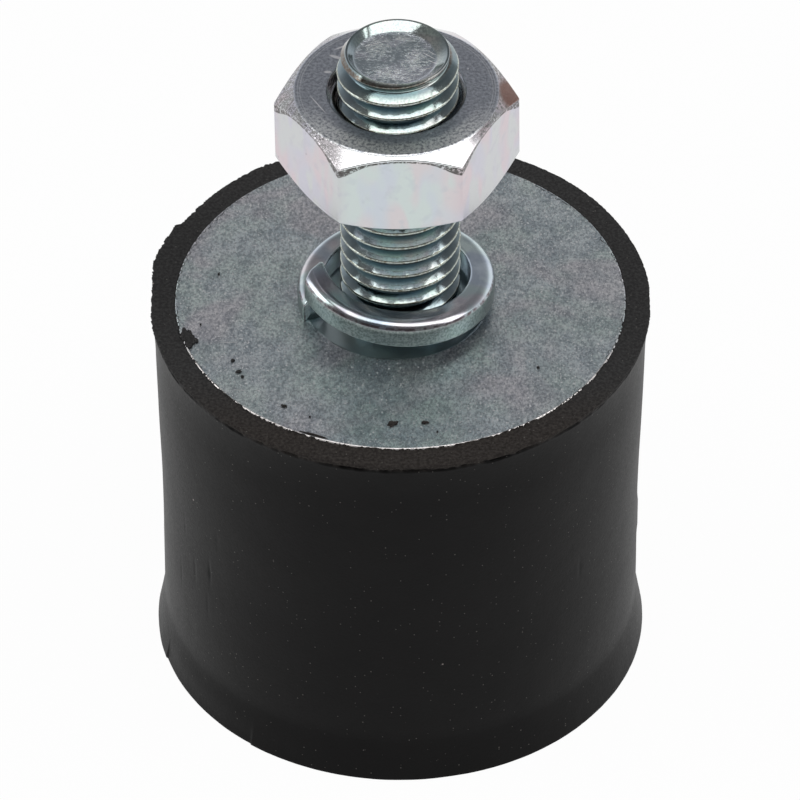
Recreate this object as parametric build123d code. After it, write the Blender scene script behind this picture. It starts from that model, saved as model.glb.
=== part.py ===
from build123d import *
from math import cos, radians, tan
import os

# Bobbin vibration mount: a moulded rubber cylinder bonded between two steel discs.
# The upper disc carries a fixed M10 stud with a split spring washer and a hexagon nut on it.
# The lower disc carries a blind M10 bush, so that the mount stands flat on its base.
# Lengths are in millimetres. Z runs up the axis and the base plane is z = 0.

# Overall
mount_height = 35.0          # over the outer faces of the two discs
disc_radius = 18.45
disc_thickness = 2.0
disc_proud = 0.15            # how far each disc face stands out of the rubber

# Rubber body
rim_width = 2.0              # of the rubber rim round the upper disc
rim_depth = 4.4              # from the rubber's top face down to where the rim starts
rim_flare = 0.33             # how far the rim leans out over that depth
side_cover = 1.2             # of rubber outside the discs at the waist
waist_low = 4.8              # the side is straight between these two heights
waist_high = 13.5
lip_flare = 0.65             # how far the base lip leans out below the waist

# M10 thread, drawn plain: crests outside, drilled size inside, pitch line where two threads mesh
crest_radius = 4.95
pitch_radius = 4.51
drill_radius = 4.25

# Stud
stud_reach = 26.1            # above the upper disc
stud_end_chamfer = 0.65
stud_dish_radius = 3.93      # floor of the shallow cup that thread rolling leaves in the end
stud_dish_depth = 0.8
stud_head_radius = 8.0
stud_head_thickness = 3.6

# Hexagon nut
nut_width = 17.0             # across flats
nut_thickness = 7.7
nut_gap = 14.5               # from the upper disc to the nut
nut_turn = 1.8               # degrees about the axis
nut_face_radius = 8.1        # flat ring inside the corner chamfers
nut_top_angle = 35.0
nut_base_angle = 30.0
nut_countersink_radius = 5.7
thread_end_clearance = 0.1   # between the last crest and the nut's lower countersink

# Split spring washer, wound left-handed
washer_inner_radius = 6.03
washer_width = 2.06
washer_thickness = 2.2
washer_edge = 0.6            # bevel of its upper outer edge
washer_end_clearance = 0.25  # between the low end and the raised end above it
washer_seat = 0.08           # depth worn flat where the low end bears on the disc
washer_cut_angle = 200.0     # azimuth of the low end
washer_overlap = 2.0         # degrees by which the raised end reaches over the low end
washer_cut_slant = 15.0      # of both cut faces to the radius, seen from above
washer_shift = -0.34         # lies off centre on the stud, along X

# Threaded bush in the lower disc
bush_spigot_radius = 7.0     # where it passes through the disc
bush_radius = 9.0            # behind the disc
bush_length = 15.0
bore_depth = 12.5
bore_mouth_radius = 5.4


def turned(points, slope=Line):
    """Solid of revolution about Z from a closed outline of (radius, height) points.

    Long slopes mesh into far fewer facets as straight Bezier curves than as lines.
    """
    edges = []
    for start, end in zip(points, points[1:] + points[:1]):
        level = start[0] == end[0] or start[1] == end[1]
        draw = Line if level else slope
        edges.append(draw((start[0], 0, start[1]), (end[0], 0, end[1])))
    return revolve(make_face(edges), Axis.Z)


def ring(inner, outer, low, high):
    """Plain ring about Z between two heights."""
    return Pos(0, 0, low) * extrude(Circle(outer) - Circle(inner), high - low)


def make_top_plate():
    low = mount_height - disc_thickness
    return ring(crest_radius, disc_radius, low, mount_height)


def make_bottom_plate():
    return ring(bush_spigot_radius, disc_radius, 0, disc_thickness)


def make_top_stud():
    """Stud with a round head behind the disc, a neck where the nut's thread meshes and a cupped end."""
    disc_back = mount_height - disc_thickness
    head_back = disc_back - stud_head_thickness
    nut_low = mount_height + nut_gap
    neck_low = nut_low + nut_countersink_radius - crest_radius - thread_end_clearance
    neck_high = nut_low + nut_thickness
    end = mount_height + stud_reach
    return turned([
        (0, head_back),
        (stud_head_radius, head_back),
        (stud_head_radius, disc_back),
        (crest_radius, disc_back),
        (crest_radius, neck_low),
        (pitch_radius, neck_low),
        (pitch_radius, neck_high),
        (crest_radius, neck_high),
        (crest_radius, end - stud_end_chamfer),
        (crest_radius - stud_end_chamfer, end),
        (stud_dish_radius, end - stud_dish_depth),
        (0, end - stud_dish_depth),
    ])


def make_hex_nut():
    """Hexagon nut: corners turned off at both faces, bore countersunk at both ends."""
    corner = nut_width / 2 / cos(radians(30))
    top_drop = (corner - nut_face_radius) * tan(radians(nut_top_angle))
    base_rise = (corner - nut_face_radius) * tan(radians(nut_base_angle))
    sink = nut_countersink_radius - pitch_radius
    prism = extrude(RegularPolygon(nut_width / 2, 6, major_radius=False), nut_thickness)
    envelope = turned([
        (pitch_radius, sink),
        (nut_countersink_radius, 0),
        (nut_face_radius, 0),
        (corner, base_rise),
        (corner, nut_thickness - top_drop),
        (nut_face_radius, nut_thickness),
        (nut_countersink_radius, nut_thickness),
        (pitch_radius, nut_thickness - sink),
    ])
    return Pos(0, 0, mount_height + nut_gap) * Rot(0, 0, nut_turn) * (prism & envelope)


def make_spring_washer():
    """One left-handed turn of square wire, cut at a slant, its low end bearing flat on the disc."""
    radius = washer_inner_radius + washer_width / 2
    lead = washer_thickness + washer_end_clearance
    turn = 360 + washer_overlap
    path = Helix(lead, lead * turn / 360, radius, lefthand=True)
    across = Plane((0, 0, 0), x_dir=(1, 0, 0), z_dir=path % 0)
    cut_width = washer_width / cos(radians(washer_cut_slant))
    cut_face = Rot(0, 0, washer_cut_slant) * (across * Rectangle(cut_width, washer_thickness))
    section = Pos(path @ 0) * cut_face
    edge = section.vertices().sort_by(Axis.Z)[-2:].sort_by(Axis.X)[-1]
    wire = sweep(chamfer(edge, washer_edge), path, is_frenet=True)
    wire = Rot(0, 0, washer_cut_angle) * Pos(0, 0, washer_thickness / 2 - washer_seat) * wire
    reach = lead + washer_thickness
    above_disc = Pos(0, 0, reach) * Box(4 * radius, 4 * radius, 2 * reach)
    return Pos(washer_shift, 0, mount_height) * (wire & above_disc)


def make_bush_blank():
    """Outer form of the bush: a spigot through the lower disc and a wider body behind it."""
    return turned([
        (0, 0),
        (bush_spigot_radius, 0),
        (bush_spigot_radius, disc_thickness),
        (bush_radius, disc_thickness),
        (bush_radius, bush_length),
        (0, bush_length),
    ])


def make_bottom_bush():
    """Bush pressed through the lower disc, with a countersunk blind bore."""
    mouth_depth = bore_mouth_radius - drill_radius
    return make_bush_blank() - turned([
        (0, 0),
        (bore_mouth_radius, 0),
        (drill_radius, mouth_depth),
        (drill_radius, bore_depth),
        (0, bore_depth),
    ])


def make_rubber_body(*bonded):
    """Moulded body with a waist low on its side, leaning out to a rim above and a lip below.

    The bonded metal is cut out of it, so rubber and metal meet face to face.
    """
    low = disc_proud
    high = mount_height - disc_proud
    rim_radius = disc_radius + rim_width
    waist_radius = disc_radius + side_cover
    body = turned([
        (0, low),
        (waist_radius + lip_flare, low),
        (waist_radius, waist_low),
        (waist_radius, waist_high),
        (rim_radius - rim_flare, high - rim_depth),
        (rim_radius, high),
        (0, high),
    ], slope=Bezier)
    for piece in bonded:
        body -= piece
    return body


top_plate = make_top_plate()
top_stud = make_top_stud()
bottom_plate = make_bottom_plate()

nodes = {
    "rubber_body": make_rubber_body(top_plate, top_stud, bottom_plate, make_bush_blank()),
    "top_plate": top_plate,
    "top_stud": top_stud,
    "spring_washer": make_spring_washer(),
    "hex_nut": make_hex_nut(),
    "bottom_plate": bottom_plate,
    "bottom_bush": make_bottom_bush(),
}

os.makedirs("parts", exist_ok=True)
for name, shape in nodes.items():
    export_step(shape, f"parts/{name}.step")
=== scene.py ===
"""Looks of a bobbin vibration mount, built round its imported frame.

Lengths are in millimetres until a mesh is made, except in the studio. An azimuth is in
degrees, anticlockwise from +X seen from above, so the side that faces the camera is at 270.
"""
import math
import random

import bmesh
import bpy
from mathutils import Matrix, Vector, noise


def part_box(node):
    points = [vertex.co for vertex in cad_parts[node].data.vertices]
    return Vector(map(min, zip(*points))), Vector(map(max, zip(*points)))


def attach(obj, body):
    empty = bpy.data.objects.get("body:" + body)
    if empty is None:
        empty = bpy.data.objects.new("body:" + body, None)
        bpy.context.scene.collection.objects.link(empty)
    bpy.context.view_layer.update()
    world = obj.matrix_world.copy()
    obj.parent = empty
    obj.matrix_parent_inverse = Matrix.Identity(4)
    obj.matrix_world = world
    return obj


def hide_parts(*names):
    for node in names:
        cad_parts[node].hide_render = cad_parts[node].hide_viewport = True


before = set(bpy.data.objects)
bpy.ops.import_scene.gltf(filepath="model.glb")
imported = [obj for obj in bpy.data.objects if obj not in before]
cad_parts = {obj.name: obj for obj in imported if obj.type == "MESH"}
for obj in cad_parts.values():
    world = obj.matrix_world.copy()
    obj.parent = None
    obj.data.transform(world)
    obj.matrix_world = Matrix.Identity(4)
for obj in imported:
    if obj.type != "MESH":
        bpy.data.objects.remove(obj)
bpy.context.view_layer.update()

MM = 0.001
MERGE_DISTANCE = 1e-7


def span(node):
    """Lowest and highest corner of a CAD node, in millimetres."""
    low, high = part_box(node)
    return low / MM, high / MM


# Places taken from the frame
plate_low, plate_high = span("top_plate")
_, rubber_high = span("rubber_body")
stud_low, stud_high = span("top_stud")
nut_low, nut_high = span("hex_nut")
base_low, base_high = span("bottom_plate")
bush_low, bush_high = span("bottom_bush")
disc_radius = plate_high.x
rim_radius = rubber_high.x
head_radius = stud_high.x
bush_radius = bush_high.x

# Rubber
waist_radius = 19.75
waist_high = 13.5            # the side is straight up to here, then widens
shoulder_height = 30.45
shoulder_radius = 20.12
lip_height = 4.1
lip_flare = 0.67
lip_edge_radius = 0.05
lip_step = 0.10              # the lip stands back by this at the left front
rim_edge_radius = 0.12
rim_depth = 0.95             # finely divided below the top for its torn edge and its crease
crease_depth = 0.52          # from the top down to the crease under the edge
rubber_foot = 0.01           # height of the lip's underside
rubber_skin = 0.006          # how far the skin over the upper disc's edge stands above it
rim_swell = 0.07             # the rim bulges this far past its nominal radius
flash_reach = 0.36           # how far the flash left by the mould stands out of the rim
flash_start = 151.5
flash_end = 174.0
# Smaller swellings of the rim: azimuth, width in degrees, height
rim_lumps = [
    (168.5, 2.2, 0.13), (182, 4, 0.1), (124, 3.5, 0.17), (160, 40, 0.08), (45, 14, 0.1),
    (131, 6, 0.08),
]
sliver_ends = (9.9, 13.2)    # heights of the small sliver left by the mould at the right
sliver_reach = 0.16
box_margin = 0.01            # kept between the torn rim and the side of the CAD box

# M10 x 1.5 thread
pitch = 1.5
crest_radius = 4.95
root_radius = 4.03
bore_minor_radius = 4.19
bore_major_radius = 5.02
thread_phase = 46.02 + pitch / 4     # height of a crest at azimuth 0

# Stud
stud_neck_radius = 4.6
stud_thread_gap = 0.6        # plain neck between the upper disc and the thread
stud_rim_radius = 4.20
stud_rim_drop = 0.05
stud_chamfer = 0.66          # outward for each millimetre down from the rim
stud_mouth_radius = 4.02     # inner edge of the rim, where the cup begins
stud_cup_radius = 3.25
stud_cup_depth = 0.60
stud_cup_offset = Vector((-0.2, -0.22, 0))

# The stud leans a little to the left, and carries the nut with it
lean = -0.012                # sideways for each millimetre of height
lean_start = 41.0

# Nut
nut_width = 17.14
nut_shift = -0.12
nut_turn = 1.8
nut_face_radius = 8.16
nut_top_angle = 35.0
nut_base_angle = 30.0
nut_countersink = 5.7
nut_corner_radius = 0.22

# Washer
washer_inner_radius = 6.03
washer_outer_radius = 8.09
washer_middle_radius = (washer_inner_radius + washer_outer_radius) / 2
washer_thickness = 2.2
washer_lead = 2.82
washer_lead_power = 1.9      # the wire lies nearly flat at first, then climbs to its raised end
washer_seat = 0.08
washer_low_end = 200.0
washer_overlap = 4.3
washer_low_slant = 0.7       # degrees of turn for each millimetre across the cut
washer_high_slant = 6.5
washer_shift = -0.34

# Plates
plate_edge_radius = 0.16
seat_mark_radius = 7.5       # where the washer has been clamped on the upper disc
seat_mark_depth = 0.04
# Rings of the upper face as (outer, inner, steps), finest where the washer's mark ends
plate_rings = [(16.0, 9.0, 20), (9.0, 6.5, 50), (6.5, crest_radius, 5)]

# Bush
bush_spigot_radius = 7.0
bush_mouth_radius = 5.4
bush_bore_depth = 12.5


# ---- Outlines ----

def rounded(points, radii, steps=4, hold=0.03):
    """Open outline whose corners with a radius are arcs, held by a short straight each side."""
    outline = []
    for index, (point, radius) in enumerate(zip(points, radii)):
        if not radius:
            outline.append(tuple(point))
            continue
        corner = Vector(point)
        back = (Vector(points[index - 1]) - corner).normalized()
        ahead = (Vector(points[index + 1]) - corner).normalized()
        half = back.angle(ahead) / 2
        tangent = radius / math.tan(half)
        centre = corner + (back + ahead).normalized() * (radius / math.sin(half))
        start = corner + back * tangent - centre
        end = corner + ahead * tangent - centre
        turn = start.angle_signed(end)
        if hold:
            outline.append(tuple(corner + back * (tangent + hold)))
        for step in range(steps + 1):
            spoke = Matrix.Rotation(-turn * step / steps, 2) @ start
            outline.append(tuple(centre + spoke))
        if hold:
            outline.append(tuple(corner + ahead * (tangent + hold)))
    return outline


def ease(share):
    """Smooth step from 0 to 1."""
    share = min(max(share, 0.0), 1.0)
    return share * share * (3 - 2 * share)


def swell(value, middle, width):
    """Bell curve that is 1 at its middle."""
    return math.exp(-((value - middle) / width) ** 2)


def spread(start, end, count):
    """Evenly spaced values after start, up to and with end."""
    return [start + (end - start) * (index + 1) / count for index in range(count)]


def polar(radius, azimuth, height):
    angle = math.radians(azimuth)
    return Vector((radius * math.cos(angle), radius * math.sin(angle), height))


def leaning(point):
    """The point carried sideways by the stud's lean."""
    point.x += lean * max(point.z - lean_start, 0)
    return point


def even_azimuths(count):
    """Azimuths once round, with the first one repeated at the end."""
    return [360 * index / count for index in range(count + 1)]


# ---- Meshes ----

def skin(name, columns):
    """Mesh object through columns of points in millimetres; points that coincide are joined."""
    rows = len(columns[0])
    vertices = [point * MM for column in columns for point in column]
    faces = []
    for column in range(len(columns) - 1):
        for row in range(rows - 1):
            corner = column * rows + row
            faces.append((corner, corner + rows, corner + rows + 1, corner + 1))
    mesh = bpy.data.meshes.new(name)
    mesh.from_pydata(vertices, [], faces)
    return finish_mesh(name, mesh)


def finish_mesh(name, mesh):
    """Joins coincident points, turns the faces outward and shades them smooth."""
    work = bmesh.new()
    work.from_mesh(mesh)
    bmesh.ops.remove_doubles(work, verts=work.verts, dist=MERGE_DISTANCE)
    bmesh.ops.recalc_face_normals(work, faces=work.faces)
    work.to_mesh(mesh)
    work.free()
    mesh.shade_smooth()
    piece = bpy.data.objects.new(name, mesh)
    bpy.context.scene.collection.objects.link(piece)
    return piece


def dress(piece, material, slot, *nodes):
    """Gives a finished piece its material and its place in the frame."""
    piece.data.materials.append(material)
    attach(piece, "root")
    if nodes:
        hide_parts(*nodes)
    return piece


def turned(name, outline, count, place=polar):
    """Outline of (radius, height) points turned about Z, each put in its place."""
    columns = [
        [place(radius, azimuth, height) for radius, height in outline]
        for azimuth in even_azimuths(count)
    ]
    return skin(name, columns)


# ---- Threads ----

def thread_form(crest, root, crest_round, root_round):
    """One pitch of a 60 degree thread as (height, radius) points, its crest in the middle."""
    flank = abs(crest - root) * math.tan(math.radians(30))
    crest_half = (pitch / 2 - flank) * 0.43
    root_at = crest_half + flank
    points = [
        (-pitch / 2, root),
        (-root_at, root),
        (-crest_half, crest),
        (crest_half, crest),
        (root_at, root),
        (pitch / 2, root),
    ]
    radii = [0, root_round, crest_round, crest_round, root_round, 0]
    return rounded(points, radii, steps=2, hold=0.005)


def thread_column(form, azimuth, low, high, limit):
    """Thread surface from low to high at one azimuth; limit(radius, height) ends it."""
    rise = thread_phase + pitch * azimuth / 360
    first = math.floor((low - thread_phase) / pitch) - 2
    last = first + math.ceil((high - low) / pitch) + 5
    column = []
    for turn in range(first, last):
        for offset, radius in form[:-1]:
            height = min(max(rise + turn * pitch + offset, low), high)
            column.append((limit(radius, height), height))
    return column


def bore_column(azimuth, low, high, limit):
    """Thread of a bore at one azimuth, half a pitch round from the stud's."""
    form = thread_form(bore_minor_radius, bore_major_radius, 0.06, 0.05)
    shifted = [(offset + pitch / 2, radius) for offset, radius in form]
    return thread_column(shifted, azimuth, low, high, limit)


# ---- Rubber body ----

def side_radius(height):
    """Radius of the moulded side: a flared lip, a waist, a slow widening and a flared rim."""
    lip = max(1 - height / lip_height, 0) ** 1.2
    slope = min((height - waist_high) / (shoulder_height - waist_high), 1)
    rim = max(height - shoulder_height, 0) / (rubber_high.z - shoulder_height)
    return (
        waist_radius
        + lip_flare * lip
        + (shoulder_radius - waist_radius) * ease(slope * 0.85) / ease(0.85)
        + (rim_radius - shoulder_radius) * rim ** 1.6
    )


def rubber_outline():
    """Half section of the rubber round the bonded metal, from the stud's head to the bush."""
    top = rubber_high.z
    low = rubber_foot
    shelf = top - rim_edge_radius
    inner = [(0, stud_low.z), (head_radius, stud_low.z), (head_radius, plate_low.z)]
    inner += [(disc_radius, plate_low.z), (disc_radius, top - 0.3), (disc_radius, top)]
    rim = [(radius, top) for radius in spread(disc_radius, side_radius(top) - rim_edge_radius, 13)]
    edge = []
    for angle in spread(0, math.pi / 2, 7):
        inset = rim_edge_radius * (1 - math.sin(angle))
        edge.append((side_radius(top) - inset, top - rim_edge_radius * (1 - math.cos(angle))))
    levels = spread(shelf, top - rim_depth, 11) + spread(top - rim_depth, lip_height, 34)
    levels += spread(lip_height, low + 0.3, 11)
    side = [(side_radius(z), z) for z in levels]
    lip = rounded(
        [(side_radius(low + 0.25), low + 0.25), (side_radius(low), low), (disc_radius, low)],
        [0, lip_edge_radius, 0], steps=3, hold=0)
    base = [(disc_radius, base_high.z), (bush_radius, base_high.z), (bush_radius, bush_high.z)]
    return inner + rim + edge + side + lip + base + [(0, bush_high.z)]


def torn(azimuth, height, size):
    """Ragged value from about -1 to 1 that changes over this many millimetres."""
    place = polar(rim_radius / size, azimuth, height / size)
    return (noise.noise(place) * 1.4 + noise.noise(place * 2.7) * 0.7
            + noise.noise(place * 6.1) * 0.4)


# Small marks on the moulded side: azimuth, height, half width, half height, depth
side_marks = [
    (217.5, 15.6, 0.14, 0.7, 0.09), (211.0, 14.2, 0.16, 0.7, 0.05),
    (206.5, 18.2, 0.12, 0.5, 0.04), (216.5, 11.6, 0.14, 0.4, 0.08),
    (221.0, 20.1, 0.2, 0.25, 0.06), (203.5, 12.0, 0.14, 0.8, 0.04),
    (262.0, 15.8, 0.25, 0.2, 0.05), (247.0, 21.3, 0.22, 0.22, 0.05),
    (318.0, 17.3, 0.18, 0.3, 0.05),
]


def side_dent(azimuth, height):
    """Depth of the small marks at a place on the side."""
    depth = 0.0
    for at, level, half_width, half_height, deep in side_marks:
        across = math.radians(azimuth - at) * waist_radius
        depth += deep * swell(across, 0, half_width) * swell(height, level, half_height)
    return depth


def mould_sliver(azimuth, height):
    """How far the mould's sliver stands out, prouder at its two ends."""
    low, high = sliver_ends
    across = (azimuth + 180) % 360 - 180
    ends = swell(height, low, 0.25) + swell(height, high, 0.25)
    middle = 0.45 if low < height < high else 0.0
    return sliver_reach * max(ends, middle) * swell(across, 0, 1.1)


def rim_edge(azimuth):
    """Radius of the rim's torn edge, with flash left standing at the left."""
    flash = flash_reach * ease((azimuth - flash_start) / 1.5) * ease((flash_end - azimuth) / 3)
    flash += sum(height * swell(azimuth, at, width) for at, width, height in rim_lumps)
    ragged = 0.05 + 0.17 * swell(azimuth, 172, 36) + 0.14 * swell(azimuth, 122, 8)
    bite = abs(torn(azimuth, 0, 1.2)) * 0.4 + abs(torn(azimuth, 9, 0.36))
    spoke = polar(1, azimuth, 0)
    room = (rim_radius - box_margin) / max(abs(spoke.x), abs(spoke.y))
    return min(rim_radius + rim_swell + flash, room) - ragged * bite


def rim_overlap(azimuth):
    """How far a thin skin of rubber runs over the edge of the upper disc."""
    open_front = 1 - 0.85 * swell(azimuth, 270, 55)
    patchy = torn(azimuth, 60, 1.6) + 0.9 * torn(azimuth, 70, 0.4)
    return 0.21 * open_front * max(0.5 + patchy, 0)


def edge_crease(azimuth, height):
    """Depth of the ragged crease under the rim's edge, deepest at the front."""
    level = rubber_high.z - crease_depth + 0.12 * torn(azimuth, 30, 2.6)
    front = 0.3 + 0.7 * swell(azimuth, 268, 42)
    depth = 0.34 * front * max(0.5 + torn(azimuth, 50, 1.5), 0.15)
    return depth * swell(height, level, 0.11)


def rubber_point(radius, azimuth, height):
    """Surface of the rubber with its torn rim, its lip's step, small marks and slight waves."""
    top = rubber_high.z
    turn = azimuth % 360
    if radius < disc_radius - 0.01 or radius < disc_radius + 0.01 and height < top - 0.2:
        return polar(radius, azimuth, height)
    if radius < disc_radius + 0.01:
        over = rim_overlap(turn)
        lift = plate_high.z + rubber_skin - top
        return polar(radius - over, azimuth, top + lift * ease(over / 0.03))
    near_top = ease((height - top + 1.1) / 1.0)
    edge = near_top * ease((radius - rim_radius + 0.6) / 0.5)
    if near_top > 0:
        grain = torn(turn, radius * 1.3, 0.45)
        height -= ease((height - top + 0.1) / 0.1) * (0.02 + 0.016 * grain)
        height -= edge * 0.05 * max(torn(turn, 40, 0.8), 0)
    radius += edge * (rim_edge(turn) - rim_radius)
    if height < top - 0.2 and radius > waist_radius - 0.2:
        fade = ease((top - 1.0 - height) / 0.8)
        radius -= fade * side_dent(turn, height) + edge_crease(turn, height)
        radius += fade * (mould_sliver(turn, height) + 0.02 * torn(turn, height, 9))
    if height < 2.5:
        low_edge = ease((2.5 - height) / 2.3)
        step = lip_step if 196 < turn < 232.5 else 0.0
        radius -= low_edge * (step + 0.012 * (1 + torn(turn, 80, 2.5)))
    return polar(radius, azimuth, height)


def make_rubber_body():
    return turned("rubber_moulding", rubber_outline(), 960, rubber_point)


# ---- Plates ----

def seat_mark(x, y):
    """Depth of the smooth ring that the clamped washer has pressed into the upper disc."""
    distance = math.hypot(x - washer_shift, y)
    return seat_mark_depth * ease((seat_mark_radius - distance) / 0.12 + 0.5)


def top_plate_point(radius, azimuth, height):
    point = polar(radius, azimuth, height)
    if height > plate_high.z - 0.001:
        wave = 0.012 * noise.noise(point * 0.16)
        point.z -= seat_mark(point.x, point.y) + 0.012 + wave
    return point


def make_top_plate():
    top = plate_high.z
    low = plate_low.z
    corners = rounded(
        [(washer_inner_radius, low), (disc_radius, low), (disc_radius, top),
         (plate_rings[0][0], top)],
        [0, 0.3, plate_edge_radius, 0], steps=6)
    face = [(radius, top) for ring in plate_rings for radius in spread(*ring)]
    outline = corners + face + [(crest_radius, low), (washer_inner_radius, low)]
    return turned("upper_disc", outline, 288, top_plate_point)


def make_bottom_plate():
    low = base_low.z
    high = base_high.z
    outline = rounded(
        [(12.0, low), (disc_radius, low), (disc_radius, high), (bush_spigot_radius, high),
         (bush_spigot_radius, low), (12.0, low)],
        [0, plate_edge_radius, 0.3, 0, 0.12, 0], steps=5)
    return turned("lower_disc", outline, 240)


# ---- Stud ----

def stud_limit(radius, height):
    """Runs the thread out above the upper disc, and into the rim of the cupped end."""
    start = plate_high.z + stud_thread_gap
    end = stud_high.z - stud_rim_drop
    run_out = ease((height - start) / 0.9)
    chamfer = stud_rim_radius + (end - height) * stud_chamfer
    fill = root_radius + (stud_rim_radius - root_radius) * ease((height - end + 0.85) / 0.8)
    return max(min(stud_neck_radius + (radius - stud_neck_radius) * run_out, chamfer), fill)


def stud_end():
    """Rounded rim and shallow cup of the stud's upper end."""
    top = stud_high.z
    floor = top - stud_cup_depth
    rim = rounded(
        [(stud_rim_radius, top - stud_rim_drop), (stud_rim_radius - 0.03, top),
         (stud_mouth_radius, top), (stud_cup_radius, floor), (2.9, floor)],
        [0, 0.02, 0.16, 0.6, 0], steps=7, hold=0)
    return rim + [(radius, floor) for radius in spread(2.9, 0, 14)]


def stud_point(radius, azimuth, height):
    """Crests are slightly rough, as a rolled thread's are, and the cup is off the middle."""
    turn = azimuth % 360
    if plate_high.z + 1 < height < stud_high.z - stud_rim_drop and radius > stud_rim_radius:
        crest = ease((radius - crest_radius + 0.15) / 0.15)
        place = polar(crest_radius / 0.45, turn, height / 0.5)
        radius -= crest * 0.028 * (1 + noise.noise(place))
    point = polar(radius, azimuth, height)
    if radius < stud_mouth_radius and height > stud_high.z - stud_cup_depth - 0.1:
        inside = ease((stud_mouth_radius - radius) / (stud_mouth_radius - stud_cup_radius))
        point += stud_cup_offset * inside
        point.z += 0.02 * inside * noise.noise(polar(radius, turn, 0) * 0.9)
    return leaning(point)


def make_top_stud():
    low = stud_low.z
    thread_low = plate_high.z + stud_thread_gap
    thread_high = stud_high.z - stud_rim_drop
    form = thread_form(crest_radius, root_radius, 0.15, 0.17)
    foot = rounded(
        [(0, low), (head_radius, low), (head_radius, plate_low.z), (crest_radius, plate_low.z),
         (crest_radius, plate_high.z), (stud_neck_radius, plate_high.z + 0.3)],
        [0, 0.4, 0, 0, 0, 0], steps=4)
    end = stud_end()
    columns = []
    for azimuth in even_azimuths(192):
        thread = thread_column(form, azimuth, thread_low, thread_high, stud_limit)
        columns.append([stud_point(r, azimuth, z) for r, z in foot + thread + end])
    return skin("threaded_stud", columns)


# ---- Nut ----

def hexagon_radius(azimuth):
    """Distance from the axis to the side of a hexagon with rounded corners."""
    flat = nut_width / 2
    half = math.radians(30)
    off_corner = math.radians(abs((azimuth + 30) % 60 - 30))
    arc_centre = (flat - nut_corner_radius) / math.cos(half)
    tangent = math.atan2(nut_corner_radius * math.sin(half),
                         arc_centre + nut_corner_radius * math.cos(half))
    if off_corner >= tangent:
        return flat / math.cos(half - off_corner)
    across = arc_centre * math.sin(off_corner)
    return arc_centre * math.cos(off_corner) + math.sqrt(nut_corner_radius ** 2 - across ** 2)


def nut_azimuths():
    """Azimuths once round from a corner, closer together at the corners."""
    half = [0, 0.2, 0.4, 0.6, 0.8, 1.0, 1.4, 2.0, 3.0, 4.5, 6.5, 9, 12, 15, 18, 21, 24, 27, 30]
    side = half + [60 - offset for offset in reversed(half[1:-1])]
    around = [corner * 60 + offset for corner in range(6) for offset in side]
    return around + [360]


def nut_shell(azimuth):
    """Outside of the nut at one azimuth, from its upper countersink to its lower one."""
    outer = hexagon_radius(azimuth)
    top = nut_high.z
    low = nut_low.z
    drop = (outer - nut_face_radius) * math.tan(math.radians(nut_top_angle))
    rise = (outer - nut_face_radius) * math.tan(math.radians(nut_base_angle))
    wall = [top - drop + (low + rise - top + drop) * share for share in (0.2, 0.4, 0.6, 0.8)]
    points = [
        (nut_countersink - 0.6, top - 0.6), (nut_countersink, top), (nut_face_radius, top),
        (outer, top - drop), *[(outer, height) for height in wall],
        (outer, low + rise), (nut_face_radius, low), (nut_countersink, low),
        (nut_countersink - 0.6, low + 0.6),
    ]
    radii = [0, 0.08, 0.22, 0.17, 0, 0, 0, 0, 0.12, 0.2, 0.08, 0]
    return rounded(points, radii, steps=4)[1:-1]


def nut_bore(azimuth, start, end):
    """Threaded bore from the lower countersink up to the upper one."""

    def limit(radius, height):
        low_cone = start[0] - (height - start[1])
        high_cone = end[0] - (end[1] - height)
        return max(radius, low_cone, high_cone)

    return bore_column(azimuth, start[1], end[1], limit)


def nut_point(radius, azimuth, height):
    point = polar(radius, azimuth, height)
    point.x += nut_shift
    return leaning(point)


def make_hex_nut():
    columns = []
    for azimuth in nut_azimuths():
        shell = nut_shell(azimuth)
        outline = shell + nut_bore(azimuth, shell[-1], shell[0]) + [shell[0]]
        columns.append([nut_point(r, azimuth + nut_turn, z) for r, z in outline])
    return skin("hexagon_nut", columns)


# ---- Washer ----

def washer_section():
    """Closed section of the washer's wire as (radius, height), with a soft outer shoulder."""
    inner = washer_inner_radius
    outer = washer_outer_radius
    thick = washer_thickness
    middle = washer_middle_radius
    return rounded(
        [(middle, 0), (outer - 0.04, 0), (outer, thick * 0.5), (outer - 0.06, thick),
         (inner, thick + 0.05), (inner + 0.03, 0), (middle, 0)],
        [0, 0.12, 0, 0.95, 0.25, 0.15, 0], steps=8)


def washer_point(radius, azimuth, height, cut):
    """Place on the left-handed turn; the two ends are cut at a slant through the wire."""
    slant = (max(radius, washer_inner_radius + 0.4) - washer_middle_radius) * cut
    travel = max(washer_low_end - azimuth - slant, 0) / 360
    rise = washer_lead * travel ** washer_lead_power - washer_seat
    base = plate_high.z
    point = polar(radius, azimuth + slant, max(base + height + rise, base))
    point.x += washer_shift
    return point


def make_spring_washer():
    """Wire along its turn, closed at each end by a ring just inside the cut's edge."""
    section = washer_section()
    middle = Vector((washer_middle_radius, washer_thickness / 2))
    inset = [Vector(point).lerp(middle, 0.07) for point in section]
    first = washer_low_end
    last = washer_low_end - 360 - washer_overlap
    burr = 0.5
    wire = []
    for azimuth in [first - burr, *spread(first - burr, last + burr, 240)]:
        share = (first - azimuth) / (first - last)
        cut = washer_low_slant + (washer_high_slant - washer_low_slant) * share
        wire.append([washer_point(r, azimuth, z, cut) for r, z in section])
    low_cap, high_cap = [
        [[washer_point(middle.x, end, middle.y, cut)] * len(section),
         [washer_point(r, end, z, cut) for r, z in inset]]
        for end, cut in ((first, washer_low_slant), (last, washer_high_slant))
    ]
    return skin("split_washer", low_cap + wire + high_cap[::-1])


# ---- Bush ----

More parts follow.
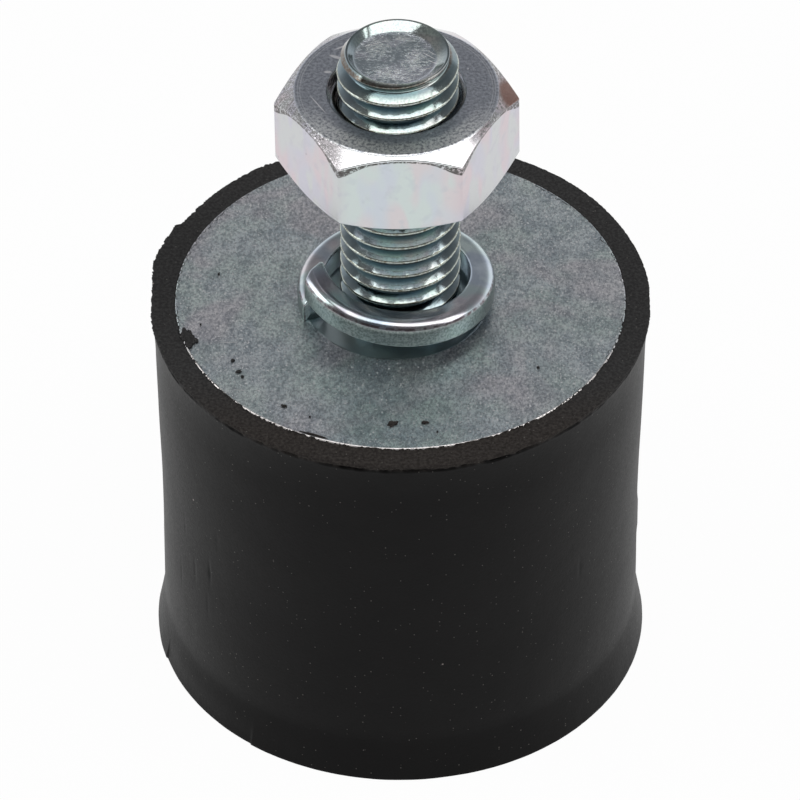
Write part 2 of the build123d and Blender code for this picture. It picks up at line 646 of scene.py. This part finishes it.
def bush_limit(radius, height):
    """Countersunk mouth at the base and a plain end at the bottom of the blind bore."""
    mouth = bush_mouth_radius - (height - bush_low.z)
    run_out = ease((bush_bore_depth - 0.4 - height) / 1.0)
    return max(bore_minor_radius + (radius - bore_minor_radius) * run_out, mouth)


def make_bottom_bush():
    low = bush_low.z
    outside = rounded(
        [(0, bush_high.z), (bush_radius, bush_high.z), (bush_radius, base_high.z),
         (bush_spigot_radius, base_high.z), (bush_spigot_radius, low), (bush_mouth_radius, low)],
        [0, 0.3, 0, 0, 0.12, 0], steps=4)
    columns = []
    for azimuth in even_azimuths(128):
        bore = bore_column(azimuth, low, bush_bore_depth, bush_limit)
        outline = outside + bore + [(0, bush_bore_depth + 0.4)]
        columns.append([polar(radius, azimuth, height) for radius, height in outline])
    return skin("threaded_bush", columns)


# ---- Rubber crumbs ----

# Place on the upper disc, length, width and turn from +X in degrees
crumb_places = [
    (-0.66, -15.42, 0.8, 0.56, 30), (1.98, -15.3, 0.5, 0.32, 10),
    (2.98, -16.45, 0.14, 0.12, 0), (-13.6, -7.7, 0.28, 0.24, 0),
    (-13.1, -9.06, 0.4, 0.26, 20), (-12.8, -9.68, 0.24, 0.22, 0),
    (-9.4, -13.26, 0.42, 0.28, -20), (-16.3, -3.24, 0.13, 0.11, 0),
    (-14.9, 3.08, 0.2, 0.15, 40), (11.2, -8.58, 0.22, 0.2, 0),
    (-6.95, -16.8, 1.7, 0.13, -22), (-7.3, -14.6, 0.14, 0.12, 0),
]
crumb_height = 0.22
crumb_sunk = 0.03            # so that no gap shows under a crumb
flake_azimuth = 195.8
flake_inset = 0.55           # from the disc's edge to the middle of the flake
flake_size = (2.0, 1.02, 0.2)


def make_crumbs():
    """Crumbs of moulding flash that lie on the upper disc, and one larger flake at its edge."""
    draw = random.Random(11)
    work = bmesh.new()
    for x, y, length, width, turn in crumb_places:
        add_lump(work, draw, Vector((x, y, plate_high.z)), length, width, crumb_height, turn)
    flake = polar(disc_radius - flake_inset, flake_azimuth, plate_high.z)
    add_lump(work, draw, flake, *flake_size, flake_azimuth - 90)
    mesh = bpy.data.meshes.new("rubber_crumbs")
    work.to_mesh(mesh)
    work.free()
    return finish_mesh("rubber_crumbs", mesh)


def add_lump(work, draw, place, length, width, height, turn):
    """Small torn lump that rests on the disc."""
    about_z = Matrix.Rotation(math.radians(turn), 3, "Z")
    seed = Vector((draw.random(), draw.random(), draw.random())) * 50
    made = bmesh.ops.create_icosphere(work, subdivisions=4, radius=0.5)
    for vertex in made["verts"]:
        lumpy = noise.noise(vertex.co * 2.6 + seed) + 0.5 * noise.noise(vertex.co * 8 + seed)
        size = 1 + 0.8 * lumpy
        z = max(vertex.co.z * height * min(size, 1.1), -height * 0.3)
        spot = Vector((vertex.co.x * length * size, vertex.co.y * width * size,
                       z + height * 0.3 - crumb_sunk))
        vertex.co = (place + about_z @ spot) * MM


# ---- Materials ----

# Sockets of the Mix node that carry colour
MIX_FIRST = 6
MIX_SECOND = 7
MIX_RESULT = 2


class Look:
    """Node tree of a material or of the world."""

    def __init__(self, owner, coordinates="Object"):
        owner.use_nodes = True
        self.owner = owner
        self.tree = owner.node_tree
        self.place = self.add("ShaderNodeTexCoord", {}).outputs[coordinates]

    def add(self, kind, inputs, **settings):
        """New node with its settings made and its inputs fed."""
        node = self.tree.nodes.new(kind)
        for key, value in settings.items():
            setattr(node, key, value)
        self.feed(node, inputs)
        return node

    def feed(self, node, inputs):
        """Gives each named input a value, or links it to a socket."""
        for key, value in inputs.items():
            if isinstance(value, bpy.types.NodeSocket):
                self.tree.links.new(value, node.inputs[key])
            else:
                node.inputs[key].default_value = value

    def noise(self, size, detail=2.0, roughness=0.5, distortion=0.0, place=None):
        """Noise whose lumps are about this many millimetres across."""
        node = self.add("ShaderNodeTexNoise", {
            "Vector": place or self.place, "Scale": 1 / (size * MM), "Detail": detail,
            "Roughness": roughness, "Distortion": distortion})
        return node.outputs["Fac"]

    def specks(self, spacing, radius, share):
        """Small round specks: one in a share of the cells that are this far apart."""
        node = self.add("ShaderNodeTexVoronoi", {"Vector": self.place, "Scale": 1 / (spacing * MM)})
        chance, _, _ = self.split(node.outputs["Color"])
        size = radius / spacing
        disc = self.remap(node.outputs["Distance"], size * 0.6, size * 1.2, 1, 0)
        return self.times(disc, self.remap(chance, share * 0.8, share, 1, 0))

    def spot(self, x, y, half_x, half_y, turn=0.0):
        """1 at a place on a level face, falling to 0 at the edge of an ellipse round it."""
        inside = self.add("ShaderNodeMapping", {
            "Vector": self.place, "Location": (x * MM, y * MM, 0),
            "Rotation": (0, 0, math.radians(turn)), "Scale": (half_x * MM, half_y * MM, 1),
        }, vector_type="TEXTURE").outputs["Vector"]
        ball = self.add("ShaderNodeTexGradient", {"Vector": inside}, gradient_type="SPHERICAL")
        return ball.outputs["Fac"]

    def spots(self, *places):
        """1 in the inner half of any of several spots, falling to 0 at its edge."""
        return self.remap(self.most([self.spot(*place) for place in places]), 0, 0.5)

    def most(self, values):
        """Largest of several values."""
        result = values[0]
        for value in values[1:]:
            result = self.maths("MAXIMUM", result, value)
        return result

    def stretched(self, x, y, z):
        """Coordinates with each axis scaled."""
        node = self.add("ShaderNodeMapping", {"Vector": self.place, "Scale": (x, y, z)})
        return node.outputs["Vector"]

    def split(self, vector):
        node = self.add("ShaderNodeSeparateXYZ", {"Vector": vector})
        return node.outputs["X"], node.outputs["Y"], node.outputs["Z"]

    def from_axis(self, middle_x=0.0, leans=False):
        """Distance from an upright axis, or from the stud's leaning one."""
        x, y, z = self.split(self.place)
        off = self.maths("SUBTRACT", x, middle_x * MM)
        if leans:
            rise = self.maths("MAXIMUM", self.maths("SUBTRACT", z, lean_start * MM), 0)
            off = self.maths("SUBTRACT", off, self.times(rise, lean))
        return self.maths("SQRT", self.maths("ADD", self.times(off, off), self.times(y, y)))

    def maths(self, operation, first, second=0.0, clamp=False):
        node = self.add("ShaderNodeMath", {0: first, 1: second},
                        operation=operation, use_clamp=clamp)
        return node.outputs["Value"]

    def times(self, first, second):
        return self.maths("MULTIPLY", first, second)

    def remap(self, value, low, high, to_low=0.0, to_high=1.0):
        """Smooth change from one range to another, held at both ends."""
        node = self.add("ShaderNodeMapRange", {
            "Value": value, "From Min": low, "From Max": high, "To Min": to_low, "To Max": to_high,
        }, interpolation_type="SMOOTHSTEP")
        return node.outputs["Result"]

    def past(self, length, start, end, to_low=0.0, to_high=1.0):
        """Smooth change as a length passes between two others, given in millimetres."""
        return self.remap(length, start * MM, end * MM, to_low, to_high)

    def band(self, length, low, high, edge):
        """1 between two lengths in millimetres, with soft edges."""
        rise = self.past(length, low - edge, low + edge)
        return self.times(rise, self.past(length, high - edge, high + edge, 1, 0))

    def blend(self, share, first, second, mode="MIX"):
        """Mix of two colours, given as sockets or as (red, green, blue)."""
        first, second = [
            colour if isinstance(colour, bpy.types.NodeSocket) else (*colour, 1)
            for colour in (first, second)
        ]
        node = self.add("ShaderNodeMix", {"Factor": share, MIX_FIRST: first, MIX_SECOND: second},
                        data_type="RGBA", blend_type=mode)
        return node.outputs[MIX_RESULT]

    def tint(self, share, colour, glass):
        """Colour seen through a share of coloured glass."""
        return self.blend(share, colour, glass, "MULTIPLY")

    def bump(self, height, depth, normal=None):
        """Bump of this depth in millimetres, over another one if given."""
        under = {"Normal": normal} if normal else {}
        node = self.add("ShaderNodeBump", {"Height": height, "Distance": depth * MM, **under})
        return node.outputs["Normal"]

    def apply(self, colour, roughness, normal, metallic=1.0, specular=0.5):
        self.feed(self.tree.nodes["Principled BSDF"], {
            "Base Color": colour, "Roughness": roughness, "Normal": normal,
            "Metallic": metallic, "Specular IOR Level": specular})
        return self.owner


def new_look(name):
    return Look(bpy.data.materials.new(name))


def rubber_material():
    """Black moulded rubber: satin on the side, granular on the rim, dusty; painted shade makes the
    rim darker and browner towards the front.
    """
    look = new_look("black_rubber")
    _, y, z = look.split(look.place)
    rim = look.past(z, rubber_high.z - 0.75, rubber_high.z - 0.4)
    grain = look.noise(0.26, detail=4, roughness=0.65)
    clouds = look.noise(6, detail=3)
    side = look.blend(clouds, (0.0022, 0.0022, 0.0023), (0.0052, 0.0049, 0.0048))
    # Painted shade: the rim is darker and browner towards the front.
    front = look.past(y, -8, -17)
    low = look.blend(front, (0.027, 0.0265, 0.0265), (0.022, 0.019, 0.0175))
    high = look.blend(front, (0.052, 0.051, 0.051), (0.052, 0.046, 0.042))
    top = look.blend(look.remap(grain, 0.35, 0.68), low, high)
    colour = look.blend(rim, side, top)
    dust = look.most([look.specks(0.62, 0.06, 0.22), look.specks(0.37, 0.05, 0.16)])
    colour = look.blend(look.times(dust, 0.5), colour, (0.2, 0.19, 0.175))
    colour = look.blend(look.specks(1.7, 0.09, 0.1), colour, (0.3, 0.27, 0.25))
    rough = look.maths("ADD", look.remap(rim, 0, 1, 0.44, 0.85),
                       look.remap(grain, 0.2, 0.8, -0.04, 0.05))
    depth = look.times(grain, look.remap(rim, 0, 1, 0.25, 1))
    normal = look.bump(clouds, 0.05, look.bump(depth, 0.05))
    return look.apply(colour, rough, normal, metallic=0.0, specular=0.1)


def disc_material():
    """Zinc disc: mottled and speckled, with a smooth pressed ring where the washer bears, darkened
    there as painted shade, and a painted highlight along the front of its edge.
    """
    look = new_look("zinc_disc")
    _, y, _ = look.split(look.place)
    pressed = look.past(look.from_axis(washer_shift),
                        seat_mark_radius - 0.05, seat_mark_radius + 0.1, 1, 0)
    brushed = look.stretched(1, 0.68, 1)
    grain = look.noise(0.21, detail=5, roughness=0.72, place=brushed)
    fine = look.noise(0.15, detail=3, roughness=0.6, place=brushed)
    clouds = look.noise(1.5, detail=6, roughness=0.72, place=brushed)
    colour = look.blend(look.remap(grain, 0.36, 0.64), (0.44, 0.47, 0.495), (0.97, 1.0, 1.0))
    shade = look.blend(look.remap(clouds, 0.38, 0.6), (0.74, 0.765, 0.79), (1, 1, 1))
    cool = look.blend(look.remap(look.noise(5, detail=2), 0.4, 0.6),
                      (0.93, 0.98, 1.0), (0.92, 1.0, 0.97))
    hue = look.blend(look.remap(look.noise(7, detail=2, distortion=0.5), 0.45, 0.65),
                     cool, (1.0, 0.95, 0.98))
    colour = look.tint(1.0, look.tint(1.0, colour, shade), hue)
    flecks = look.most([look.remap(fine, 0.57, 0.67), look.specks(0.5, 0.09, 0.3)])
    colour = look.blend(look.times(flecks, 0.8), colour, (1, 1, 1))
    pits = look.specks(1.3, 0.08, 0.1)
    colour = look.blend(look.times(pits, 0.8), colour, (0.08, 0.08, 0.08))
    scratches = look.spots((-13.9, -5.41, 0.9, 0.05, 2), (-13.0, -11.29, 0.7, 0.05, -6))
    colour = look.blend(scratches, colour, (0.9, 0.9, 0.9))
    # The pressed ring is smooth; its darker colour is painted shade under the washer.
    colour = look.blend(pressed, colour, (0.46, 0.54, 0.56))
    # Painted highlight along the front of the disc's edge, broken by dark patches.
    edge = look.times(look.band(look.from_axis(), disc_radius - 0.12, disc_radius + 0.5, 0.04),
                      look.past(y, -3, -8))
    broken = look.remap(look.noise(0.5, detail=4, roughness=0.7), 0.34, 0.46)
    colour = look.blend(edge, colour, look.blend(broken, (0.16, 0.14, 0.13), (0.92, 0.88, 0.86)))
    rough = look.remap(grain, 0.3, 0.7, 0.42, 0.3)
    rough = look.remap(flecks, 0, 1, rough, 0.55)
    rough = look.remap(pressed, 0, 1, rough, 0.29)
    depth = look.times(grain, look.remap(pressed, 0, 1, 1, 0.08))
    return look.apply(colour, rough, look.bump(depth, 0.014))


def rainbow(look, size=5.0, place=None):
    """Pastel tints of a clear passivation film over zinc, a few of them in this length."""
    warm = look.blend(look.remap(look.noise(size, detail=1, place=place), 0.4, 0.6),
                      (0.84, 0.91, 1.0), (1.0, 0.88, 0.88))
    cool = look.remap(look.noise(size * 0.7, detail=1, distortion=0.4, place=place), 0.42, 0.62)
    return look.blend(cool, warm, (0.88, 1.0, 0.94))


def nut_face_colour(look, y, distance, grain):
    """Granular top face with fine turned rings, paler at the front as painted light, with a few
    chips.
    """
    face = look.blend(look.remap(grain, 0.34, 0.66), (0.3, 0.32, 0.37), (0.54, 0.57, 0.63))
    rings = look.most([look.band(distance, 7.72, 7.8, 0.03), look.band(distance, 7.92, 7.98, 0.03)])
    face = look.blend(look.times(rings, 0.45), face, (0.85, 0.87, 0.9))
    # Painted light: the front of the top face is made paler near its edge.
    painted_front_light = look.times(look.past(y, -1, -6), look.band(distance, 6.7, 9, 0.4))
    face = look.blend(look.times(painted_front_light, look.remap(grain, 0.34, 0.6)), face, (0.98, 1.0, 1.0))
    chips = look.spots((-5.2, 4.1, 0.75, 0.22, -25), (-5.85, 2.2, 0.4, 0.2),
                       (-4.5, 5.5, 1.2, 0.14, 30), (-6.6, -1.9, 1.6, 0.07, -60))
    flecks = look.most([look.times(look.specks(0.6, 0.09, 0.1), 0.7), chips])
    return look.blend(flecks, face, (0.93, 0.93, 0.96))


def nut_side_colour(look, distance, below):
    """Upright pastel tints with specks of dirt, and a broken dark burr under the chamfer."""
    upright = look.stretched(1, 1, 0.45)
    sides = look.tint(0.65, (0.64, 0.655, 0.67), rainbow(look, 2.6, upright))
    pale = look.remap(look.noise(0.9, detail=2), 0.56, 0.66)
    sides = look.blend(look.times(pale, 0.35), sides, (0.52, 0.56, 0.6))
    dirt = look.specks(1.1, 0.07, 0.16)
    sides = look.blend(look.times(dirt, 0.7), sides, (0.12, 0.11, 0.1))
    corner = look.past(distance, 8.8, 9.7, 0.22 * MM, 0.72 * MM)
    burr = look.times(look.past(below, 0.05, 0.12),
                      look.past(look.maths("SUBTRACT", below, corner), 0, 0.12, 1, 0))
    broken = look.remap(look.noise(0.22, detail=5, roughness=0.75), 0.38, 0.52)
    return look.blend(look.times(burr, broken), sides, (0.1, 0.1, 0.095))


def nut_material():
    """Bright zinc nut: smooth sides with upright tints, a granular top and worn chamfers, with a
    painted highlight on the front of the chamfer and painted light on the front of the top.
    """
    look = new_look("zinc_nut")
    x, y, z = look.split(look.place)
    distance = look.from_axis(nut_shift, leans=True)
    top = look.past(z, nut_high.z - 0.16, nut_high.z - 0.04)
    slope = math.tan(math.radians(nut_top_angle))
    cone = look.times(look.maths("SUBTRACT", distance, nut_face_radius * MM), slope)
    below = look.maths("SUBTRACT", look.maths("SUBTRACT", nut_high.z * MM, cone), z)
    chamfer = look.times(look.past(below, 0.04, 0.1, 1, 0),
                         look.past(distance, nut_face_radius - 0.01, nut_face_radius + 0.14))
    grain = look.noise(0.26, detail=4, roughness=0.65)
    sides = nut_side_colour(look, distance, below)
    # Painted highlight: the chamfer is made pale at the front.
    sides = look.blend(look.times(chamfer, look.past(y, -4.5, -6.8)), sides, (0.9, 0.93, 0.93))
    away = look.past(look.maths("ABSOLUTE", x), 3.8, 5.4)
    sides = look.tint(away, sides, (0.98, 0.9, 0.93))
    colour = look.blend(top, sides, nut_face_colour(look, y, distance, grain))
    scuff = look.remap(look.noise(0.22, detail=5, roughness=0.85), 0.44, 0.54)
    left = look.times(look.past(x, -3.4, -6.4), 0.8)
    hatched = look.noise(0.14, detail=5, roughness=0.8, place=look.stretched(1, 0.4, 1))
    right = look.times(look.past(x, 5.6, 6.8), look.remap(hatched, 0.42, 0.56))
    worn = look.times(chamfer, look.most([look.times(left, scuff), right]))
    colour = look.blend(worn, colour, (0.24, 0.24, 0.235))
    rust = look.times(look.spot(8.8, 0.3, 1.2, 2.4), chamfer)
    colour = look.blend(look.remap(rust, 0, 0.5), colour, (0.2, 0.11, 0.09))
    rough = look.remap(top, 0, 1, 0.2, 0.34)
    depth = look.times(grain, look.remap(look.most([top, worn]), 0, 1, 0.05, 1))
    return look.apply(colour, rough, look.bump(depth, 0.03))


def thread_colour(look, x, z, distance, grain):
    """Rolled thread: painted shade darkens its root and its two sides; scuffed crests, brown under
    the rim.
    """
    cup_floor = stud_high.z - stud_cup_depth
    # Painted shade: darker teal towards the thread's root.
    deep = look.times(look.past(distance, root_radius + 0.17, crest_radius - 0.1, 1, 0),
                      look.past(z, cup_floor - 0.35, cup_floor - 0.15, 1, 0))
    body = look.blend(deep, (0.62, 0.67, 0.64), (0.18, 0.25, 0.27))
    body = look.tint(0.6, body, rainbow(look, 3.5))
    body = look.blend(look.remap(grain, 0.35, 0.62, 0.35, 0), body, (0.12, 0.15, 0.16))
    # Painted shade: the stud's left and right sides are made darker.
    side = look.past(look.maths("ABSOLUTE", x), 2.2, 4.0, 0, 0.8)
    body = look.blend(side, body, (0.16, 0.21, 0.24))
    crest = look.band(distance, crest_radius - 0.12, crest_radius + 1, 0.04)
    scuff = look.remap(look.noise(0.16, detail=4, roughness=0.75), 0.46, 0.6)
    body = look.blend(crest, body, (0.52, 0.57, 0.53))
    body = look.blend(look.times(crest, scuff), body, (0.24, 0.23, 0.17))
    near_end = look.times(
        look.band(z, stud_high.z - 0.78, stud_high.z - 0.12, 0.06),
        look.past(distance, stud_rim_radius - 0.07, stud_rim_radius - 0.01))
    return look.blend(look.times(near_end, look.remap(grain, 0.35, 0.65, 1, 0.5)),
                      body, (0.14, 0.105, 0.08))


def cup_scrapes(look, floor):
    """Patches of fine bright scraping on the floor of the stud's cup."""
    streaks = look.noise(0.22, detail=6, roughness=0.8, distortion=0.5,
                         place=look.stretched(0.55, 1, 1))
    patches = look.most([
        look.spot(-1.9, 1.3, 2.6, 2.4, 30), look.spot(-0.8, -2.1, 3.0, 1.6, -10),
        look.spot(1.2, -0.3, 1.7, 3.4, -10), look.spot(0.3, 2.4, 2.4, 1.1)])
    biased = look.maths("ADD", streaks, look.times(patches, 0.2))
    return look.times(floor, look.remap(biased, 0.53, 0.8))


def stud_material():
    """Zinc on a rolled thread, and a scratched cup at the end."""
    look = new_look("zinc_stud")
    x, _, z = look.split(look.place)
    distance = look.from_axis(leans=True)
    grain = look.noise(0.2, detail=4, roughness=0.65)
    body = thread_colour(look, x, z, distance, grain)
    cup_floor = stud_high.z - stud_cup_depth
    inside = look.past(distance, stud_mouth_radius - 0.12, stud_mouth_radius - 0.02, 1, 0)
    floor = look.times(look.past(z, cup_floor - 0.4, cup_floor - 0.3),
                       look.past(z, cup_floor + 0.02, cup_floor + 0.15, 1, 0))
    floor = look.times(inside, floor)
    scraped = cup_scrapes(look, floor)
    lines = look.spots(
        (-2.2, 1.7, 1.2, 0.06, 22), (2.3, 0.2, 0.8, 0.05, -40), (2.6, -0.6, 0.7, 0.05, -38),
        (2.2, -1.4, 0.6, 0.05, 20), (2.5, 0.6, 0.6, 0.04, -42))
    end = look.blend(look.remap(look.noise(1.6, detail=2), 0.4, 0.6),
                     (0.4, 0.46, 0.5), (0.53, 0.56, 0.62))
    end = look.blend(look.times(scraped, 0.85), end, (0.93, 0.97, 0.95))
    end = look.blend(lines, end, (0.98, 0.98, 0.98))
    colour = look.blend(floor, body, end)
    rough = look.remap(grain, 0.3, 0.7, 0.08, 0.13)
    rough = look.remap(floor, 0, 1, rough, 0.26)
    depth = look.times(grain, look.remap(floor, 0, 1, 0.15, 0.3))
    normal = look.bump(scraped, 0.02, look.bump(depth, 0.02))
    return look.apply(colour, rough, normal)


def washer_material():
    """Zinc on spring wire: smooth and tinted, with a finely granular outer wall."""
    look = new_look("zinc_washer")
    distance = look.from_axis(washer_shift)
    wall = look.past(distance, washer_outer_radius - 0.16, washer_outer_radius - 0.05)
    grain = look.noise(0.2, detail=4, roughness=0.65)
    colour = look.blend(look.remap(look.noise(2.2, detail=3), 0.38, 0.62),
                        (0.48, 0.52, 0.57), (0.66, 0.7, 0.73))
    colour = look.tint(0.8, colour, rainbow(look, 4.0))
    granular = look.blend(look.remap(grain, 0.36, 0.62), (0.17, 0.21, 0.205), (0.34, 0.4, 0.385))
    colour = look.blend(wall, colour, granular)
    stain = look.band(distance, washer_outer_radius - 0.2, washer_outer_radius - 0.08, 0.04)
    mottled = look.remap(look.noise(0.5, detail=4, roughness=0.7), 0.35, 0.6)
    colour = look.blend(look.times(stain, mottled), colour, (0.17, 0.14, 0.15))
    dirt = look.specks(0.9, 0.07, 0.18)
    colour = look.blend(look.times(dirt, 0.6), colour, (0.1, 0.1, 0.09))
    rough = look.remap(wall, 0, 1, 0.19, 0.3)
    depth = look.times(grain, look.remap(wall, 0, 1, 0.12, 1))
    return look.apply(colour, rough, look.bump(depth, 0.02))


def bush_material():
    """Plain bright zinc with a fine grain."""
    look = new_look("zinc_bush")
    grain = look.noise(0.25, detail=4, roughness=0.6)
    colour = look.blend(look.remap(grain, 0.35, 0.65), (0.46, 0.5, 0.52), (0.62, 0.66, 0.67))
    colour = look.tint(0.6, colour, rainbow(look))
    rough = look.remap(grain, 0.3, 0.7, 0.26, 0.36)
    return look.apply(colour, rough, look.bump(grain, 0.012))


# ---- Studio ----

# Lengths here are in metres
camera_distance = 0.77
camera_elevation = 41.46
camera_target = Vector((-0.00003, 0, 0.02394))
view_width = 0.06609         # seen across the picture at the target
floor_size = 6.0
floor_glow = 0.97            # share of the floor's white that isn't left to the lamps


def make_camera():
    data = bpy.data.cameras.new("camera")
    data.sensor_width = 36.0
    data.lens = data.sensor_width * camera_distance / view_width
    data.clip_start = 0.01
    data.clip_end = 20.0
    camera = bpy.data.objects.new("camera", data)
    angle = math.radians(camera_elevation)
    back = Vector((0, -math.cos(angle), math.sin(angle)))
    camera.location = camera_target + back * camera_distance
    camera.rotation_euler = (math.pi / 2 - angle, 0, 0)
    bpy.context.scene.collection.objects.link(camera)
    bpy.context.scene.camera = camera


def floor_material():
    """White that shows in the picture and in the metal, and still takes a soft shadow."""
    look = new_look("floor_white")
    shader = look.tree.nodes["Principled BSDF"]
    look.feed(shader, {"Base Color": (0.86, 0.86, 0.86, 1), "Roughness": 0.9})
    seen = look.add("ShaderNodeLightPath", {}).outputs
    either = look.maths("ADD", seen["Is Camera Ray"], seen["Is Glossy Ray"])
    either = look.maths("ADD", either, seen["Is Transmission Ray"], clamp=True)
    glow = look.add("ShaderNodeEmission", {"Color": (1, 1, 1, 1), "Strength": 1.0})
    mixed = look.add("ShaderNodeMixShader", {
        0: look.times(either, floor_glow), 1: shader.outputs["BSDF"], 2: glow.outputs["Emission"]})
    look.feed(look.tree.nodes["Material Output"], {"Surface": mixed.outputs["Shader"]})
    return look.owner


def make_floor():
    bpy.ops.mesh.primitive_plane_add(size=floor_size)
    floor = bpy.context.object
    floor.name = "floor"
    floor.data.materials.append(floor_material())


# Lamp: name, azimuth, elevation, distance, width, height, radiance
lamps = [
    ("front_top", 270, 74, 1.1, 1.45, 0.6, 1.9),
    ("left", 180, 30, 1.0, 0.48, 0.54, 2.0),
    ("right", 347, 38, 1.0, 0.42, 0.6, 2.4),
]


def make_lamps():
    """Flat lamps round the object, each with the brightness that its face shows."""
    for name, azimuth, elevation, distance, width, height, radiance in lamps:
        data = bpy.data.lights.new(name, "AREA")
        data.shape = "RECTANGLE"
        data.size = width
        data.size_y = height
        data.energy = radiance * math.pi * width * height
        lamp = bpy.data.objects.new(name, data)
        flat = math.cos(math.radians(elevation)) * distance
        lamp.location = polar(flat, azimuth, math.sin(math.radians(elevation)) * distance)
        aim = Vector((0, 0, 0.03)) - lamp.location
        lamp.rotation_euler = aim.to_track_quat("-Z", "Y").to_euler()
        bpy.context.scene.collection.objects.link(lamp)


# Grey of the world by height of the direction, behind the object and in front of it
back_bands = [(0.0, 1.0), (0.22, 0.95), (0.42, 0.42), (0.62, 0.26), (1.0, 0.16)]
front_bands = [(0.0, 1.0), (0.06, 0.9), (0.2, 0.16), (0.62, 0.09), (1.0, 0.12)]


def sky_ramp(sky, height, bands):
    ramp = sky.add("ShaderNodeValToRGB", {"Fac": height})
    elements = ramp.color_ramp.elements
    for position, _ in bands[1:-1]:
        elements.new(position)
    for element, (position, grey) in zip(elements, bands):
        element.position = position
        element.color = (grey, grey, grey * 1.02, 1)
    return ramp.outputs["Color"]


def make_world():
    """White round the horizon, grey overhead and dark over the side that faces the camera."""
    sky = Look(bpy.data.worlds.new("studio"), "Generated")
    _, y, z = sky.split(sky.place)
    front = sky.add("ShaderNodeMapRange", {"Value": y, "From Min": 0.1, "From Max": -0.3})
    grey = sky.blend(front.outputs["Result"],
                     sky_ramp(sky, z, back_bands), sky_ramp(sky, z, front_bands))
    sky.feed(sky.tree.nodes["Background"], {"Color": grey, "Strength": 1.0})
    bpy.context.scene.world = sky.owner


# ---- Assembly ----

rubber = rubber_material()
plain_zinc = bush_material()

dress(make_rubber_body(), rubber, "rubber", "rubber_body")
dress(make_top_plate(), disc_material(), "disc_steel", "top_plate")
dress(make_top_stud(), stud_material(), "stud_steel", "top_stud")
dress(make_hex_nut(), nut_material(), "nut_steel", "hex_nut")
dress(make_spring_washer(), washer_material(), "washer_steel", "spring_washer")
dress(make_bottom_plate(), plain_zinc, "base_steel", "bottom_plate")
dress(make_bottom_bush(), plain_zinc, "bush_steel", "bottom_bush")
dress(make_crumbs(), rubber, "rubber")

make_floor()
make_lamps()
make_world()
make_camera()
bpy.context.scene.view_settings.view_transform = "Standard"
